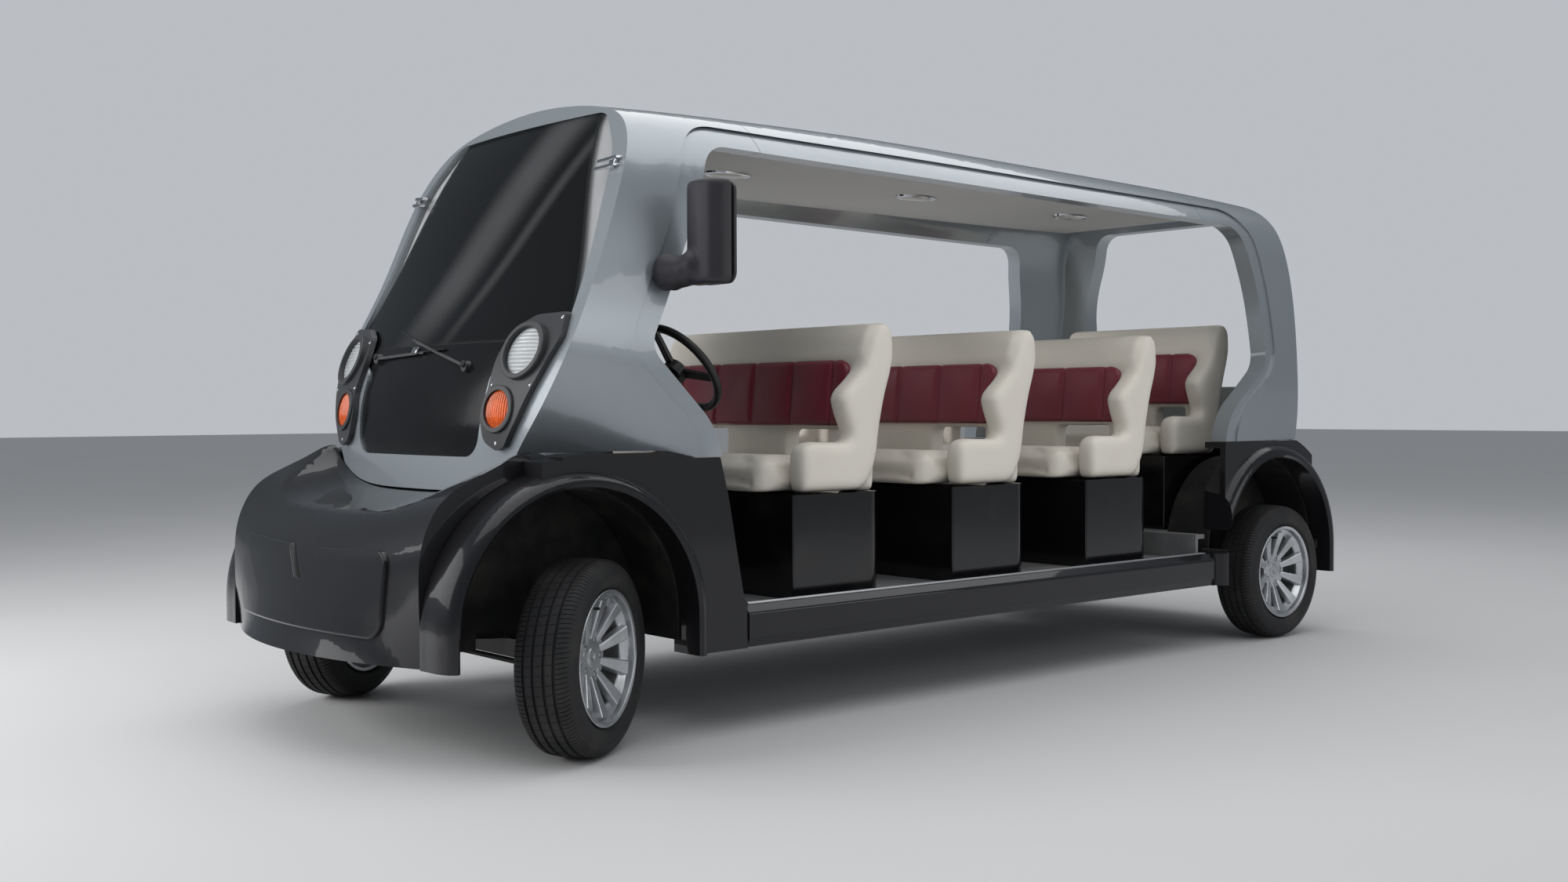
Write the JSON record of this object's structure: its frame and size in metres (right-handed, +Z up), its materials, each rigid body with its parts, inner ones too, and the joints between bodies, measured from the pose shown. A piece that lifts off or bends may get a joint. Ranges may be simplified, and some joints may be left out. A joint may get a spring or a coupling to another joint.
{
  "type": "electric sightseeing car",
  "caption": "Open-sided electric sightseeing car with a rounded one-piece canopy body, rows of padded bench seats, alloy wheels and steered front wheels.",
  "frame": {"origin": "centre of the bounding box at ground level, under the tyres", "axes": "front of the car towards -Y, +X is the car's own left, +Z up"},
  "size_m": [1.8988, 4.7305, 2.0337],
  "materials": {
    "silver_paint": "metallic silver paint under clear coat",
    "graphite_paint": "dark graphite metallic paint under clear coat",
    "gloss_black": "polished black",
    "screen_glass": "clear laminated glass",
    "lamp_lens": "clear lens",
    "amber_lens": "tinted lens",
    "red_lens": "moulded lens",
    "mirror": "silvered glass",
    "tyre": "matt rubber",
    "wheel_alloy": "cast, machined face",
    "chassis_steel": "black chassis coating",
    "dark_panel": "matt black moulding",
    "dash_grey": "grained moulding",
    "dark_grain": "fine grained moulding",
    "seat_cream": "padded leathercloth",
    "seat_burgundy": "padded leathercloth with sewn channels",
    "floor_mat": "ribbed mat on a steel deck",
    "headliner": "fabric",
    "wheel_grip": "soft grained",
    "motor_metal": "cast",
    "battery_case": "painted case"
  },
  "bodies": {
    "chassis": {"battery_pack": "battery_case", "chassis_frame": "chassis_steel", "dashboard": "dash_grey", "drive_motor": "motor_metal", "floor_deck": "floor_mat", "front_axle": "chassis_steel", "front_bulkhead": "dark_panel", "front_bumper": "graphite_paint", "front_cowl": "silver_paint", "front_fenders": "graphite_paint", "front_panel": "gloss_black", "headlamp_lenses": "lamp_lens", "headliner": "headliner", "indicator_lenses": "amber_lens", "lamp_bezels": "gloss_black", "leaf_springs": "chassis_steel", "mirror_glasses": "mirror", "mirror_housings": "dark_grain", "pedals": "dark_panel", "rear_axle": "chassis_steel", "rear_bumper": "graphite_paint", "rear_fenders": "graphite_paint", "rear_hoop": "silver_paint", "roof_shell": "silver_paint", "seat_bases": "gloss_black", "seat_cushions": "seat_cream", "seat_pads": "seat_burgundy", "seat_shells": "seat_cream", "side_sills": "dark_panel", "steering_column": "dark_panel", "tail_lamps": "red_lens", "wheel_housings": "dark_panel", "windscreen": "screen_glass", "windscreen_clamps": "wheel_alloy", "wipers": "dark_panel"},
    "wheel_front_left": {"tyre_front_left": "tyre", "rim_front_left": "wheel_alloy"},
    "wheel_front_right": {"tyre_front_right": "tyre", "rim_front_right": "wheel_alloy"},
    "wheel_rear_left": {"tyre_rear_left": "tyre", "rim_rear_left": "wheel_alloy"},
    "wheel_rear_right": {"tyre_rear_right": "tyre", "rim_rear_right": "wheel_alloy"},
    "knuckle_left": {"front_knuckle_left": "chassis_steel"},
    "knuckle_right": {"front_knuckle_right": "chassis_steel"},
    "tie_rod": {"tie_rod": "chassis_steel"},
    "steering_wheel": {"steering_wheel": "wheel_grip"}
  },
  "joints": [
    {"name": "steer_left", "type": "hinge", "parent": "chassis", "child": "knuckle_left", "pos_m": [0.635, -1.785, 0.291], "axis": [0, 0, 1], "range_deg": [-66, 4]},
    {"name": "steer_right", "type": "hinge", "parent": "chassis", "child": "knuckle_right", "pos_m": [-0.635, -1.785, 0.291], "axis": [0, 0, 1], "range_deg": [-66, 4]},
    {"name": "spin_front_left", "type": "hinge", "parent": "knuckle_left", "child": "wheel_front_left", "pos_m": [0.695, -1.74895, 0.291], "axis": [0.8572, 0.515, 0], "continuous": true},
    {"name": "spin_front_right", "type": "hinge", "parent": "knuckle_right", "child": "wheel_front_right", "pos_m": [-0.695, -1.82105, 0.291], "axis": [0.8572, 0.515, 0], "continuous": true},
    {"name": "spin_rear_left", "type": "hinge", "parent": "chassis", "child": "wheel_rear_left", "pos_m": [0.705, 1.865, 0.291], "axis": [1, 0, 0], "continuous": true},
    {"name": "spin_rear_right", "type": "hinge", "parent": "chassis", "child": "wheel_rear_right", "pos_m": [-0.705, 1.865, 0.291], "axis": [1, 0, 0], "continuous": true},
    {"name": "tie_rod_pivot", "type": "hinge", "parent": "knuckle_left", "child": "tie_rod", "pos_m": [0.57938, -1.69243, 0.233], "axis": [0, 0, 1], "range_deg": [-4, 66]},
    {"name": "steering_wheel_turn", "type": "hinge", "parent": "chassis", "child": "steering_wheel", "pos_m": [0.335, -1.12, 1.15], "axis": [0, 0.788, 0.6157], "range_deg": [-1056, 64]}
  ],
  "couplings": [
    {"joint": "steer_right", "follows": "steer_left", "ratio": 1},
    {"joint": "tie_rod_pivot", "follows": "steer_left", "ratio": -1},
    {"joint": "steering_wheel_turn", "follows": "steer_left", "ratio": 16}
  ]
}
